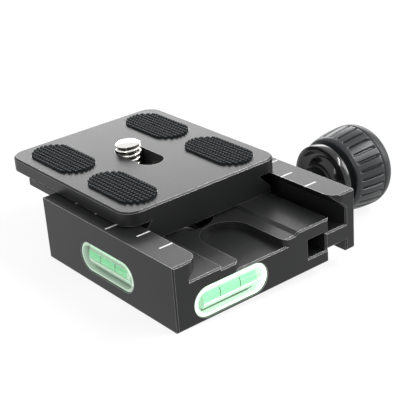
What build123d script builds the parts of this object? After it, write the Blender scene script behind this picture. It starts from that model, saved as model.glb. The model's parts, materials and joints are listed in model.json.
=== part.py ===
from build123d import *
import os

# Dovetail quick release clamp with its camera plate. Millimetres, +Z up, +X towards the
# clamping knob, +Y along the dovetail to the rear. The origin is the centre of the
# mounting thread on the underside of the base.

# Base block
BASE_L = 50.0
CLOSED_GAP = 0.55
JAW_H = 15.5
FLOOR_Z = 10.9
LEDGE_Z = 10.4
CHANNEL_Z = 8.6
FLOOR_LEFT_END = 12.7
CHANNEL_W = 12.7
CHANNEL_OFF_PLATE_MID = 1.85
CHANNEL_RUN = 11.4
CHANNEL_MOUTH_R = 1.5
CENTRE_POCKET_R = 6.9
LEDGE_RIGHT_W = 3.3
RAMP_W = 1.2
SLOT_Z = 3.1
SLOT_H = 4.5
SLOT_DEPTH = 6.25
EDGE_CHAMFER = 0.35

# Dovetail jaws
JAW_FOOT = 4.2
JAW_TIP = 7.0
FLANK_Z = 11.5
LEAD_RADIUS = 3.2
DOVETAIL_PLAY = 0.45
MOVING_FOOT_REACH = 4.0
JAW_TOP_W = 6.9
LEG_Z = 0.5
TONGUE_GAP = 0.2
TONGUE_IN_SLOT = 0.9
JAW_TRAVEL = 5.0

# Scale marks
MARK_W = 0.42
MARK_DEPTH = 0.15
MARK_LEN = 3.45
MARK_PITCH = 8.0
MARKS_EACH_SIDE = 2

# Clamping screw and knob
AXIS_Z = 5.4
SCREW_R = 2.5
SCREW_FIT = 0.05
SCREW_GRIP_IN_BASE = 4.4
SCREW_TIP_GAP = 0.4
WASHER_R = 5.0
WASHER_T = 0.6
SLEEVE_R = 4.0
SLEEVE_L = 11.7
BOSS_R = 6.1
BOSS_L = 2.6
RIM_R = 9.0
RIM_T = 1.1
RIM_SET_BACK = 1.1
RIM_L = 2.2
LIP = 0.4
DISH_EASE = 0.8
NECK_R = 8.1
NECK_L = 1.5
CORE_R = 8.1
GRIP_FRONT_R = 10.0
GRIP_REAR_R = 10.8
GRIP_L = 8.8
GRIP_ROUND = 0.7
GRIP_SWELL_L = 6.2
GRIP_RIBS = 28
GROOVE_W = 0.75
GROOVE_DEPTH = 0.55
CAP_L = 4.2
CAP_SHOULDER_L = 2.6
CAP_SHOULDER_R = 10.2
CAP_END_R = 8.9
CAP_EDGE = 0.5
SCREW_IN_CORE = 10.0

# Guide pins and return springs
PIN_R = 1.25
PIN_FIT = 0.05
PIN_FROM_END = 8.0
PIN_END_GAP = 0.5
PIN_REACH = 13.0
PIN_IN_JAW = 8.6
SPRING_WIRE_R = 0.2
SPRING_R = 1.7
SPRING_POCKET_R = 2.1
SPRING_POCKET_L = 6.0

# Level vials
VIAL_END_WALL = 2.9
VIAL_H = 7.3
VIAL_DEPTH = 5.2
VIAL_CHAMFER = 0.5
VIAL_FIT = 0.02
FRONT_VIAL_X = 15.0
FRONT_VIAL_Z = 4.4
SIDE_VIAL_Z = 6.4
TUBE_R = 2.1
TUBE_WALL = 0.35
TUBE_L = 14.6
BUBBLE_L = 4.6
BUBBLE_DROP = 0.9
BUBBLE_R = 0.72
RING_GAP = 5.6
RING_W = 0.3
RING_T = 0.12
PLUG_L = 1.2

# Mounting thread
BUSHING_R = 4.76
BUSHING_L = 7.2
MOUNT_R = 3.175
BUSHING_FIT = 0.02
DRIVE_SLOT_W = 1.2
DRIVE_SLOT_DEPTH = 1.0

# Release plate
PLATE_W = 44.5
PLATE_L = 50.6
PLATE_T = 8.3
PLATE_CORNER_R = 4.0
PLATE_EDGE = 0.4
DOVETAIL_W = 38.0
DOVETAIL_LAND = 1.6
SLAB_GAP = 0.35
PLATE_UNDER_TIP = 0.2
PLATE_MID_OFF_BORE = 3.8
PLATE_AHEAD = 4.7
TAIL_SET_BACK = 3.0

# Camera screw
SLOT_W = 6.7
SLOT_L = 15.6
SLOT_SET_BACK = 0.5
WEB_T = 3.2
RECESS_W = 13.4
RECESS_L = 24.0
RECESS_END_FLAT = 0.6
CAMERA_R = 3.175
CAMERA_ABOVE = 2.2
CAMERA_EDGE = 0.45
CAMERA_NECK_R = 2.75
CAMERA_NECK_RISE = 0.3
CAMERA_HEAD_MARGIN = 1.3
CAMERA_HEAD_H = 2.4
CAMERA_END_GAP = 0.15
CLIP_MARGIN = 0.7
CLIP_T = 0.6
COIN_SLOT_W = 1.4
COIN_SLOT_DEPTH = 1.2

# Pads and stop screws of the plate
PAD_W = 9.9
PAD_L = 20.4
PAD_X = 14.25
PAD_Y = 12.4
PAD_DEPTH = 0.8
PAD_RAISE = 0.3
PAD_FIT = 0.02
PAD_RIBS = 8
PAD_GROOVE_W = 0.5
PAD_GROOVE_DEPTH = 0.35
STOP_R = 1.8
STOP_H = 1.9
STOP_EDGE = 0.38
STOP_INSET = 2.7
STOP_SHANK_R = 1.2
STOP_SHANK_L = 3.0
STOP_SOCKET = 1.5
STOP_SOCKET_DEPTH = 0.9

# Places worked out from the sizes above
JAW_GAP = DOVETAIL_W + DOVETAIL_PLAY
BASE_W = JAW_TIP + JAW_GAP + MOVING_FOOT_REACH - JAW_TRAVEL - CLOSED_GAP
PLATE_X = JAW_TIP - PLATE_UNDER_TIP + DOVETAIL_W / 2
BORE_FROM_FACE = PLATE_X - PLATE_MID_OFF_BORE
LEDGE_LEFT_END = PLATE_X - CHANNEL_OFF_PLATE_MID - CHANNEL_W / 2
LEFT_X = -BORE_FROM_FACE
RIGHT_X = LEFT_X + BASE_W
FRONT_Y = -BASE_L / 2
SLOT_IN_X = RIGHT_X - SLOT_DEPTH
SLOT_TOP_Z = SLOT_Z + SLOT_H
FOOT_X = LEFT_X + JAW_FOOT
TIP_X = LEFT_X + JAW_TIP
MOVING_TIP_X = TIP_X + JAW_GAP
JAW_OUT_X = MOVING_TIP_X + JAW_TOP_W
LEG_IN_X = MOVING_TIP_X + MOVING_FOOT_REACH
TONGUE_END_X = RIGHT_X - TONGUE_IN_SLOT
CHANNEL_X = LEFT_X + LEDGE_LEFT_END + CHANNEL_W / 2
CHANNEL_END_Y = BASE_L / 2 - CHANNEL_RUN
PIN_Y = BASE_L / 2 - PIN_FROM_END
VIAL_L = TUBE_L + VIAL_END_WALL * 2
BOSS_X = JAW_OUT_X + WASHER_T + SLEEVE_L
RIM_X = BOSS_X + RIM_SET_BACK
NECK_X = RIM_X + RIM_L
GRIP_X = NECK_X + NECK_L
CAP_X = GRIP_X + GRIP_L
CAP_END_X = CAP_X + CAP_L
SCREW_TIP_X = SLOT_IN_X - SCREW_GRIP_IN_BASE
PLATE_MID_X = LEFT_X + PLATE_X
PLATE_MID_Y = PLATE_L / 2 - PLATE_AHEAD
SLOT_MID_Y = PLATE_MID_Y + SLOT_SET_BACK
CAMERA_SCREW_Y = SLOT_MID_Y + SLOT_L / 2 - CAMERA_R - CAMERA_END_GAP
CAMERA_HEAD_R = RECESS_W / 2 - CAMERA_HEAD_MARGIN
CLIP_R = RECESS_W / 2 - CLIP_MARGIN
PLATE_TOP_Z = FLOOR_Z + PLATE_T
SLAB_Z = JAW_H + SLAB_GAP
WEB_Z = PLATE_TOP_Z - WEB_T


def block(x0, x1, y0, y1, z0, z1):
    return Pos((x0 + x1) / 2, (y0 + y1) / 2, (z0 + z1) / 2) * Box(x1 - x0, y1 - y0, z1 - z0)


def section(points, length):
    """A closed outline in X and Z, given as points, drawn out along Y about y = 0."""
    face = make_face(Plane.XZ * Polyline(*points, close=True))
    return extrude(face, length / 2, both=True)


def turned(points):
    """A closed outline of (x, radius) points, turned about the knob's axis."""
    outline = [(x, 0, radius) for x, radius in points]
    face = make_face(Polyline(*outline, close=True))
    return Pos(0, 0, AXIS_Z) * revolve(face, Axis.X)


def rod_x(x0, x1, radius, y=0.0, z=AXIS_Z):
    return Pos((x0 + x1) / 2, y, z) * Rot(0, 90, 0) * Cylinder(radius, x1 - x0)


def rod_z(z0, z1, radius, x=0.0, y=0.0):
    return Pos(x, y, (z0 + z1) / 2) * Cylinder(radius, z1 - z0)


def hex_z(z0, z1, across, x, y):
    hexagon = RegularPolygon(across / 2, 6, major_radius=False)
    return Pos(x, y, z0) * extrude(hexagon, z1 - z0)


def lead_cut(tip_x, side, z0, z1):
    """What rounds a jaw's two inner corners in plan; side is +1 where the jaw points to +X."""
    mid_x = tip_x - side * LEAD_RADIUS
    cuts = []
    for end in (-1, 1):
        mid_y = end * (BASE_L / 2 - LEAD_RADIUS)
        corner = block(
            min(mid_x, mid_x + side * LEAD_RADIUS * 2),
            max(mid_x, mid_x + side * LEAD_RADIUS * 2),
            min(mid_y, mid_y + end * LEAD_RADIUS * 2),
            max(mid_y, mid_y + end * LEAD_RADIUS * 2),
            z0,
            z1,
        )
        cuts.append(corner - rod_z(z0, z1, LEAD_RADIUS, mid_x, mid_y))
    return cuts


def mark_rows(inner_x, side):
    """The scale marks of one jaw; side is the way from its tip to its outer face."""
    rows = []
    for step in range(-MARKS_EACH_SIDE, MARKS_EACH_SIDE + 1):
        length = JAW_TOP_W - EDGE_CHAMFER * 2 if step == 0 else MARK_LEN
        ends = sorted((inner_x, inner_x + side * length))
        mid = step * MARK_PITCH
        rows.append(block(*ends, mid - MARK_W / 2, mid + MARK_W / 2, JAW_H - MARK_DEPTH, JAW_H))
    return rows


def stadium_y(x, z, length, height, y0, y1):
    """A long round-ended bar seen from the front, between two depths."""
    face = Plane.XZ * Pos(x, z) * SlotOverall(length, height)
    return Pos(0, y1, 0) * extrude(face, y1 - y0)


def place_side(solid):
    """Turns a vial made for the front face on to the fixed jaw's outer face."""
    return Pos(LEFT_X, 0, SIDE_VIAL_Z) * Rot(0, 0, -90) * solid


def place_front(solid):
    return Pos(LEFT_X + FRONT_VIAL_X, FRONT_Y, FRONT_VIAL_Z) * solid


def vial_pocket():
    return stadium_y(0, 0, VIAL_L + VIAL_FIT * 2, VIAL_H + VIAL_FIT * 2, -1, VIAL_DEPTH)


def vial_pieces():
    """A clear block with a drilled chamber, and what the chamber holds, about x = z = 0."""
    mid_y = TUBE_R + TUBE_WALL + VIAL_CHAMFER
    block_piece = stadium_y(0, 0, VIAL_L, VIAL_H, 0, VIAL_DEPTH)
    rim = block_piece.faces().sort_by(Axis.Y)[0].edges()
    block_piece = chamfer(rim, VIAL_CHAMFER)
    chamber_end = VIAL_L / 2
    chamber = rod_x(-TUBE_L / 2, chamber_end, TUBE_R, mid_y, 0)
    bore = chamber & stadium_y(0, 0, VIAL_L, VIAL_H, 0, VIAL_DEPTH)
    grooves = []
    for end in (-1, 1):
        ring_x = end * RING_GAP / 2
        ring = rod_x(ring_x - RING_W / 2, ring_x + RING_W / 2, TUBE_R, mid_y, 0)
        grooves.append(ring - rod_x(ring_x - RING_W, ring_x + RING_W, TUBE_R - RING_T, mid_y, 0))
    fluid = rod_x(-TUBE_L / 2, TUBE_L / 2, TUBE_R, mid_y, 0) - grooves
    fluid = fluid - rod_x(-BUBBLE_L / 2, BUBBLE_L / 2, BUBBLE_R, mid_y, TUBE_R - BUBBLE_DROP)
    plug = rod_x(TUBE_L / 2, TUBE_L / 2 + PLUG_L, TUBE_R, mid_y, 0)
    return {"block": block_piece - bore, "fluid": fluid, "rings": Compound(grooves), "plug": plug}


def channel_cut(side):
    """A milled slot that runs in from one end of the base and stops in a half round."""
    half = CHANNEL_W / 2
    mouth_y = side * BASE_L / 2
    low, high = sorted((side * CHANNEL_END_Y, mouth_y + side))
    cut = block(CHANNEL_X - half, CHANNEL_X + half, low, high, CHANNEL_Z, JAW_H)
    cut = cut + rod_z(CHANNEL_Z, JAW_H, half, CHANNEL_X, side * CHANNEL_END_Y)
    for wall in (-1, 1):
        mid_x = CHANNEL_X + wall * (half + CHANNEL_MOUTH_R)
        mid_y = mouth_y - side * CHANNEL_MOUTH_R
        x0, x1 = sorted((CHANNEL_X + wall * half, mid_x))
        y0, y1 = sorted((mid_y, mouth_y))
        flare = block(x0, x1, y0, y1, CHANNEL_Z, JAW_H)
        cut = cut + (flare - rod_z(CHANNEL_Z, JAW_H, CHANNEL_MOUTH_R, mid_x, mid_y))
    return cut


def base_block():
    ledge_right = CHANNEL_X + CHANNEL_W / 2 + LEDGE_RIGHT_W
    tip_z = FLANK_Z + JAW_TIP - JAW_FOOT
    outline = [
        (LEFT_X, 0),
        (RIGHT_X, 0),
        (RIGHT_X, SLOT_Z),
        (SLOT_IN_X, SLOT_Z),
        (SLOT_IN_X, SLOT_TOP_Z),
        (RIGHT_X, SLOT_TOP_Z),
        (RIGHT_X, FLOOR_Z),
        (ledge_right + RAMP_W, FLOOR_Z),
        (ledge_right, LEDGE_Z),
        (LEFT_X + FLOOR_LEFT_END, LEDGE_Z),
        (LEFT_X + FLOOR_LEFT_END, FLOOR_Z),
        (FOOT_X, FLOOR_Z),
        (FOOT_X, FLANK_Z),
        (TIP_X, tip_z),
        (TIP_X, JAW_H),
        (LEFT_X, JAW_H),
    ]
    body = section(outline, BASE_L)
    ends = body.faces().sort_by(Axis.Y)
    body = chamfer(ends[0].edges() + ends[-1].edges(), EDGE_CHAMFER)
    body = body - lead_cut(TIP_X, 1, FLOOR_Z, JAW_H)
    body = body - mark_rows(TIP_X, -1)
    body = body - [place_front(vial_pocket()), place_side(vial_pocket())]
    body = body - [channel_cut(-1), channel_cut(1)]
    sills = body.edges().filter_by(Axis.X).filter_by_position(Axis.Z, CHANNEL_Z - 0.01, CHANNEL_Z + 0.01)
    body = chamfer(sills, EDGE_CHAMFER)
    body = body - rod_z(CHANNEL_Z, JAW_H, CENTRE_POCKET_R)
    body = body - rod_z(-1, JAW_H, BUSHING_R + BUSHING_FIT)
    hole_end = SCREW_TIP_X - JAW_TRAVEL - SCREW_TIP_GAP
    body = body - rod_x(hole_end, RIGHT_X + 1, SCREW_R + SCREW_FIT)
    for side in (-1, 1):
        pin_end = SLOT_IN_X - PIN_REACH
        body = body - rod_x(pin_end, SLOT_IN_X + 1, PIN_R + PIN_FIT, side * PIN_Y)
        pocket = rod_x(SLOT_IN_X - SPRING_POCKET_L, SLOT_IN_X + 1, SPRING_POCKET_R, side * PIN_Y)
        body = body - pocket
    return body


def mount_bushing():
    ring = rod_z(0, BUSHING_L, BUSHING_R) - rod_z(-1, BUSHING_L + 1, MOUNT_R)
    top = BUSHING_L
    half = DRIVE_SLOT_W / 2
    return ring - block(-half, half, -BUSHING_R, BUSHING_R, top - DRIVE_SLOT_DEPTH, top)


def moving_jaw():
    tongue_low = SLOT_Z + TONGUE_GAP
    tongue_top = SLOT_TOP_Z - TONGUE_GAP
    outline = [
        (JAW_OUT_X, LEG_Z),
        (JAW_OUT_X, JAW_H),
        (MOVING_TIP_X, JAW_H),
        (LEG_IN_X, JAW_H - MOVING_FOOT_REACH),
        (LEG_IN_X, tongue_top),
        (TONGUE_END_X, tongue_top),
        (TONGUE_END_X, tongue_low),
        (LEG_IN_X, tongue_low),
        (LEG_IN_X, LEG_Z),
    ]
    jaw = section(outline, BASE_L)
    outer = jaw.edges().filter_by(Axis.Y).filter_by_position(Axis.X, JAW_OUT_X - 0.01, JAW_OUT_X + 0.01)
    ends = jaw.faces().sort_by(Axis.Y)
    jaw = chamfer(outer + ends[0].edges() + ends[-1].edges(), EDGE_CHAMFER)
    jaw = jaw - lead_cut(MOVING_TIP_X, -1, JAW_H - MOVING_FOOT_REACH, JAW_H)
    jaw = jaw - mark_rows(MOVING_TIP_X, 1)
    jaw = jaw - rod_x(TONGUE_END_X - 1, JAW_OUT_X + 1, SCREW_R + SCREW_FIT * 2)
    for side in (-1, 1):
        jaw = jaw - rod_x(TONGUE_END_X - 1, TONGUE_END_X + PIN_IN_JAW, PIN_R, side * PIN_Y)
    return jaw


def guide_pin(side):
    start = SLOT_IN_X - PIN_REACH + JAW_TRAVEL + PIN_END_GAP
    return rod_x(start, TONGUE_END_X + PIN_IN_JAW, PIN_R, side * PIN_Y)


def return_spring(side):
    """The outer shape of a close-wound return spring, round its guide pin."""
    start = SLOT_IN_X - SPRING_POCKET_L
    outer = rod_x(start, TONGUE_END_X, SPRING_R + SPRING_WIRE_R, side * PIN_Y)
    return outer - rod_x(start - 1, TONGUE_END_X + 1, SPRING_R - SPRING_WIRE_R, side * PIN_Y)


def clamp_screw():
    return rod_x(SCREW_TIP_X, BOSS_X + SCREW_IN_CORE, SCREW_R)


def thrust_washer():
    ring = rod_x(JAW_OUT_X, JAW_OUT_X + WASHER_T, WASHER_R)
    return ring - rod_x(JAW_OUT_X - 1, JAW_OUT_X + WASHER_T + 1, SCREW_R + SCREW_FIT)


def spacer_sleeve():
    start = JAW_OUT_X + WASHER_T
    tube = rod_x(start, BOSS_X, SLEEVE_R)
    return tube - rod_x(start - 1, BOSS_X + 1, SCREW_R)


def knob_core():
    """The turned hub: a boss inside a dished rim, a neck, and the drum that the grip fits."""
    rim_in_r = RIM_R - RIM_T
    dish_x = BOSS_X + BOSS_L
    return turned([
        (BOSS_X, SCREW_R),
        (BOSS_X, BOSS_R - LIP),
        (BOSS_X + LIP, BOSS_R),
        (dish_x - DISH_EASE, BOSS_R),
        (dish_x, BOSS_R + DISH_EASE),
        (dish_x - DISH_EASE, rim_in_r),
        (RIM_X + LIP, rim_in_r),
        (RIM_X, rim_in_r + LIP),
        (RIM_X, RIM_R - LIP),
        (RIM_X + LIP, RIM_R),
        (NECK_X, RIM_R),
        (NECK_X, NECK_R),
        (CAP_X, CORE_R),
        (CAP_X, 0),
        (BOSS_X + SCREW_IN_CORE, 0),
        (BOSS_X + SCREW_IN_CORE, SCREW_R),
    ])


def knob_grip():
    """The ribbed rubber ring, a little larger towards its outer end."""
    ring = turned([
        (GRIP_X, CORE_R),
        (GRIP_X, GRIP_FRONT_R - GRIP_ROUND),
        (GRIP_X + GRIP_ROUND, GRIP_FRONT_R),
        (GRIP_X + GRIP_SWELL_L, GRIP_REAR_R),
        (CAP_X, GRIP_REAR_R),
        (CAP_X, CORE_R),
    ])
    floor_r = GRIP_FRONT_R - GROOVE_DEPTH
    groove = block(
        GRIP_X + GRIP_ROUND * 2,
        CAP_X - GRIP_ROUND,
        -GROOVE_W / 2,
        GROOVE_W / 2,
        floor_r,
        GRIP_REAR_R + 1,
    )
    turns = [Rot(360 * step / GRIP_RIBS, 0, 0) * groove for step in range(GRIP_RIBS)]
    return ring - [Pos(0, 0, AXIS_Z) * turn for turn in turns]


def knob_end_cap():
    return turned([
        (CAP_X, 0),
        (CAP_X, GRIP_REAR_R),
        (CAP_X + CAP_SHOULDER_L, CAP_SHOULDER_R),
        (CAP_END_X - CAP_EDGE, CAP_END_R),
        (CAP_END_X, CAP_END_R - CAP_EDGE),
        (CAP_END_X, 0),
    ])


def release_plate():
    """The camera plate: a wide slab over a dovetail, slotted for the camera screw."""
    front = PLATE_MID_Y - PLATE_L / 2
    rear = PLATE_MID_Y + PLATE_L / 2
    outline = RectangleRounded(PLATE_W, PLATE_L, PLATE_CORNER_R)
    slab = Pos(PLATE_MID_X, PLATE_MID_Y, SLAB_Z) * extrude(outline, PLATE_TOP_Z - SLAB_Z)
    slab = chamfer(slab.faces().sort_by(Axis.Z)[-1].edges(), PLATE_EDGE)
    half = DOVETAIL_W / 2
    land_z = FLOOR_Z + DOVETAIL_LAND
    neck = half - (SLAB_Z - land_z)
    tail_outline = [
        (PLATE_MID_X - half, FLOOR_Z),
        (PLATE_MID_X + half, FLOOR_Z),
        (PLATE_MID_X + half, land_z),
        (PLATE_MID_X + neck, SLAB_Z),
        (PLATE_MID_X - neck, SLAB_Z),
        (PLATE_MID_X - half, land_z),
    ]
    tail_l = PLATE_L - TAIL_SET_BACK
    tail = Pos(0, front + tail_l / 2, 0) * section(tail_outline, tail_l)
    plate = slab + tail
    recess = RectangleRounded(RECESS_W, RECESS_L, (RECESS_W - RECESS_END_FLAT) / 2)
    plate = plate - Pos(PLATE_MID_X, PLATE_MID_Y, FLOOR_Z - 1) * extrude(recess, WEB_Z - FLOOR_Z + 1)
    slot = Rot(0, 0, 90) * SlotOverall(SLOT_L, SLOT_W)
    plate = plate - Pos(PLATE_MID_X, SLOT_MID_Y, WEB_Z - 1) * extrude(slot, WEB_T + 2)
    for x in (-PAD_X, PAD_X):
        for y in (-PAD_Y, PAD_Y):
            plate = plate - pad_blank(x, y, PLATE_TOP_Z + 1, PAD_FIT)
    for y in (front + STOP_INSET, rear - TAIL_SET_BACK - STOP_INSET):
        plate = plate - rod_z(FLOOR_Z - 1, FLOOR_Z + STOP_SHANK_L, STOP_SHANK_R, PLATE_MID_X, y)
    return plate


def pad_blank(x, y, top, spare=0.0):
    outline = Rot(0, 0, 90) * SlotOverall(PAD_L + spare * 2, PAD_W + spare * 2)
    low = PLATE_TOP_Z - PAD_DEPTH
    return Pos(PLATE_MID_X + x, PLATE_MID_Y + y, low) * extrude(outline, top - low)


def pad(x, y):
    """A rubber pad with grooves along its length."""
    top = PLATE_TOP_Z + PAD_RAISE
    body = pad_blank(x, y, top)
    pitch = PAD_W / PAD_RIBS
    grooves = []
    for step in range(1, PAD_RIBS):
        mid = PLATE_MID_X + x - PAD_W / 2 + pitch * step
        grooves.append(block(
            mid - PAD_GROOVE_W / 2,
            mid + PAD_GROOVE_W / 2,
            PLATE_MID_Y + y - PAD_L,
            PLATE_MID_Y + y + PAD_L,
            top - PAD_GROOVE_DEPTH,
            top + 1,
        ))
    return body - grooves


def stop_screw(y):
    """A small screw whose head hangs below the dovetail and keeps the plate from sliding out."""
    low = FLOOR_Z - STOP_H
    head = rod_z(low, FLOOR_Z, STOP_R, PLATE_MID_X, y)
    head = chamfer(head.faces().sort_by(Axis.Z)[0].edges(), STOP_EDGE)
    shank = rod_z(FLOOR_Z, FLOOR_Z + STOP_SHANK_L, STOP_SHANK_R, PLATE_MID_X, y)
    socket = hex_z(low, low + STOP_SOCKET_DEPTH, STOP_SOCKET, PLATE_MID_X, y)
    return head + shank - socket


def camera_screw():
    y = CAMERA_SCREW_Y
    flange_z = WEB_Z - CLIP_T
    head_z = flange_z - CAMERA_HEAD_H
    thread_z = PLATE_TOP_Z + CAMERA_NECK_RISE
    shank = rod_z(thread_z, PLATE_TOP_Z + CAMERA_ABOVE, CAMERA_R, PLATE_MID_X, y)
    shank = chamfer(shank.faces().sort_by(Axis.Z)[-1].edges(), CAMERA_EDGE)
    shank = shank + rod_z(flange_z, thread_z, CAMERA_NECK_R, PLATE_MID_X, y)
    head = rod_z(head_z, flange_z, CAMERA_HEAD_R, PLATE_MID_X, y)
    half = COIN_SLOT_W / 2
    coin = block(
        PLATE_MID_X - CAMERA_HEAD_R,
        PLATE_MID_X + CAMERA_HEAD_R,
        y - half,
        y + half,
        head_z,
        head_z + COIN_SLOT_DEPTH,
    )
    return head + shank - coin


def retaining_clip():
    y = CAMERA_SCREW_Y
    ring = rod_z(WEB_Z - CLIP_T, WEB_Z, CLIP_R, PLATE_MID_X, y)
    return ring - rod_z(WEB_Z - CLIP_T - 1, WEB_Z + 1, CAMERA_NECK_R + SCREW_FIT, PLATE_MID_X, y)


def clamp_nodes():
    front = PLATE_MID_Y - PLATE_L / 2
    rear = PLATE_MID_Y + PLATE_L / 2
    nodes = {
        "base_block": base_block(),
        "fixed_jaw_marks": Compound(mark_rows(TIP_X, -1)),
        "mount_bushing": mount_bushing(),
        "moving_jaw": moving_jaw(),
        "moving_jaw_marks": Compound(mark_rows(MOVING_TIP_X, 1)),
        "front_guide_pin": guide_pin(-1),
        "rear_guide_pin": guide_pin(1),
        "front_return_spring": return_spring(-1),
        "rear_return_spring": return_spring(1),
        "clamp_screw": clamp_screw(),
        "thrust_washer": thrust_washer(),
        "spacer_sleeve": spacer_sleeve(),
        "knob_core": knob_core(),
        "knob_grip": knob_grip(),
        "knob_end_cap": knob_end_cap(),
        "release_plate": release_plate(),
        "front_left_pad": pad(-PAD_X, -PAD_Y),
        "front_right_pad": pad(PAD_X, -PAD_Y),
        "rear_left_pad": pad(-PAD_X, PAD_Y),
        "rear_right_pad": pad(PAD_X, PAD_Y),
        "front_stop_screw": stop_screw(front + STOP_INSET),
        "rear_stop_screw": stop_screw(rear - TAIL_SET_BACK - STOP_INSET),
        "camera_screw": camera_screw(),
        "retaining_clip": retaining_clip(),
    }
    for piece, solid in vial_pieces().items():
        nodes["front_vial_" + piece] = place_front(solid)
        nodes["side_vial_" + piece] = place_side(solid)
    return nodes


os.makedirs("parts", exist_ok=True)
for node, solid in clamp_nodes().items():
    export_step(solid, "parts/" + node + ".step")
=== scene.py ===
import json
import math

import bmesh
import bpy
from mathutils import Matrix, Vector


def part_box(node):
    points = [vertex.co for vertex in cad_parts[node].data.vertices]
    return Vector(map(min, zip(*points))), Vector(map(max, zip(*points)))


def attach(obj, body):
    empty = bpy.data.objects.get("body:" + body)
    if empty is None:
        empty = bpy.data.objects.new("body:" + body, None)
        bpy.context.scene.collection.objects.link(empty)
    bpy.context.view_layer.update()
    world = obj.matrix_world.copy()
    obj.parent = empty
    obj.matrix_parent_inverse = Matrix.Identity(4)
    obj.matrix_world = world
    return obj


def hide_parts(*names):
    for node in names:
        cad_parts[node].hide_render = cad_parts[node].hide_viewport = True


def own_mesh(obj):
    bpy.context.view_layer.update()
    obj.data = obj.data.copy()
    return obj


# Dovetail quick release clamp: the looks. Sizes in millimetres become metres through MM.
MM = 0.001

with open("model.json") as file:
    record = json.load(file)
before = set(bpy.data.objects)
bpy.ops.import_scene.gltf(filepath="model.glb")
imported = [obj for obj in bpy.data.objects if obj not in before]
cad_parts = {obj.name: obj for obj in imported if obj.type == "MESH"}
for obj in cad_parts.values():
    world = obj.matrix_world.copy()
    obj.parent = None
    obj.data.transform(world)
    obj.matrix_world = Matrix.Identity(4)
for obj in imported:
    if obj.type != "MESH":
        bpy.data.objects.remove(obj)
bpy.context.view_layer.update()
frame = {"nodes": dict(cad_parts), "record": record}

# Camera
CAMERA_PLACE = Vector((-133.992, -184.042, 121.012)) * MM
CAMERA_AZIMUTH = -37.1026
CAMERA_ELEVATION = 25.0259
CAMERA_ROLL = -4.4209
SENSOR_MM = 36.0
LENS_MM = 98.989

# Knob, about its own axis
AXIS_Z = 5.4
TURN_STEPS = 144
CORE_BORE_R = 2.5
CORE_BORE_L = 10.0
DRUM_R = 8.1
RIM_R = 9.0
DISH_IN_R = 4.35
DISH_W = 3.5
DISH_EDGE = 1.05
DISH_DEPTH = 1.65
DISH_STEPS = 28

# Ribbed grip
GRIP_RIBS = 28
GRIP_COLUMNS_PER_RIB = 20
GRIP_FRONT_R = 9.97
GRIP_NOSE = 1.0
GRIP_TAIL = 0.35
GRIP_STEPS = 36
GROOVE_DEPTH = 0.6
GROOVE_WIDTH_SHARE = 0.34
GROOVE_FROM_FRONT = 1.1
GROOVE_FROM_REAR = 0.1
GROOVE_RUN_OUT = 0.9
GROOVE_LEAST_R = 9.3

# End cap
CAP_EDGE = 0.3
CAP_SWELL = 0.98
CAP_SHOULDER_R = 7.9
CAP_FACE_R = 7.4
CAP_STEPS = 14

# Threads and screws
INCH_PITCH = 1.27
INCH_DEPTH = 0.62
THREAD_R = 3.175
THREAD_COLUMNS = 72
ROWS_PER_PITCH = 14
THREAD_BAND = 0.02
HEAD_R = 5.4
HEAD_H = 2.4
NECK_R = 2.75
COIN_SLOT_W = 1.4
COIN_SLOT_DEPTH = 1.2
THREAD_OVER_CLIP = 0.2
THREAD_UNDER_TOP = 0.45
BUSHING_R = 4.76
BUSHING_EDGE = 0.25
BUSHING_MOUTH = 0.4
BUSHING_LEAD = 0.45
DRIVE_SLOT_W = 1.2
DRIVE_SLOT_DEPTH = 1.0

# Pads
PAD_W = 9.9
PAD_L = 20.4
PAD_RIB_PITCH = 1.13
PAD_NUB_PITCH = 1.03
PAD_RIB_ROWS = 9
PAD_NUB_ROWS = 21
PAD_NUB_W = 0.95
PAD_NUB_L = 0.86
PAD_NUB_H = 0.4
PAD_NUB_RISE = 0.3
PAD_PAST_EDGE = 0.3

# Springs
SPRING_TURNS = 9.0
SPRING_R = 1.7
SPRING_WIRE_R = 0.2
SPRING_END_GAP = 0.25

# Level vials: each step of the eased front edge is (level, how much smaller the outline is)
VIAL_EDGE = ((-0.5, 0.0), (-0.32, 0.12), (-0.12, 0.5), (0.0, 1.0), (0.0, 2.2))
# Painted glow along the vial blocks' front rim: its width, its fade and how deep the front layer reaches, in
# millimetres.
VIAL_GLOW_RIM_W = 1.1
VIAL_GLOW_RIM_FADE = 0.6
VIAL_GLOW_RIM_DEPTH = 1.0
HOLLOW_GAP = 0.03
HOLLOW_COLUMNS = 64


# Shaping helpers

def new_piece(name, mesh, material=None):
    piece = bpy.data.objects.new(name, mesh)
    bpy.context.scene.collection.objects.link(piece)
    if material is not None:
        mesh.materials.clear()
        mesh.materials.append(material)
    return piece


def smooth(mesh, angle=32):
    mesh.shade_smooth()
    mesh.set_sharp_from_angle(angle=math.radians(angle))
    return mesh


def finish_mesh(name, shape):
    """Merges and closes a bmesh, turns its faces outward and returns it as a mesh."""
    bmesh.ops.remove_doubles(shape, verts=shape.verts, dist=1e-7)
    bmesh.ops.dissolve_degenerate(shape, dist=1e-7, edges=shape.edges)
    bmesh.ops.recalc_face_normals(shape, faces=shape.faces)
    mesh = bpy.data.meshes.new(name)
    shape.to_mesh(mesh)
    shape.free()
    return mesh


def rounded(points, steps=5):
    """A closed outline with its corners rounded; each point is (u, v, radius)."""
    outline = []
    count = len(points)
    for index, (u, v, radius) in enumerate(points):
        here = Vector((u, v))
        back = Vector(points[index - 1][:2]) - here
        ahead = Vector(points[(index + 1) % count][:2]) - here
        if radius <= 0 or back.length == 0 or ahead.length == 0:
            outline.append((u, v))
            continue
        half = back.angle(ahead) / 2
        if half > math.radians(89):
            outline.append((u, v))
            continue
        reach = radius / math.tan(half)
        start = here + back.normalized() * reach
        end = here + ahead.normalized() * reach
        middle = here + (back.normalized() + ahead.normalized()).normalized() * radius / math.sin(half)
        for step in range(steps + 1):
            share = step / steps
            way = (start - middle).slerp(end - middle, share)
            outline.append(tuple(middle + way))
    return outline


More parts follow.
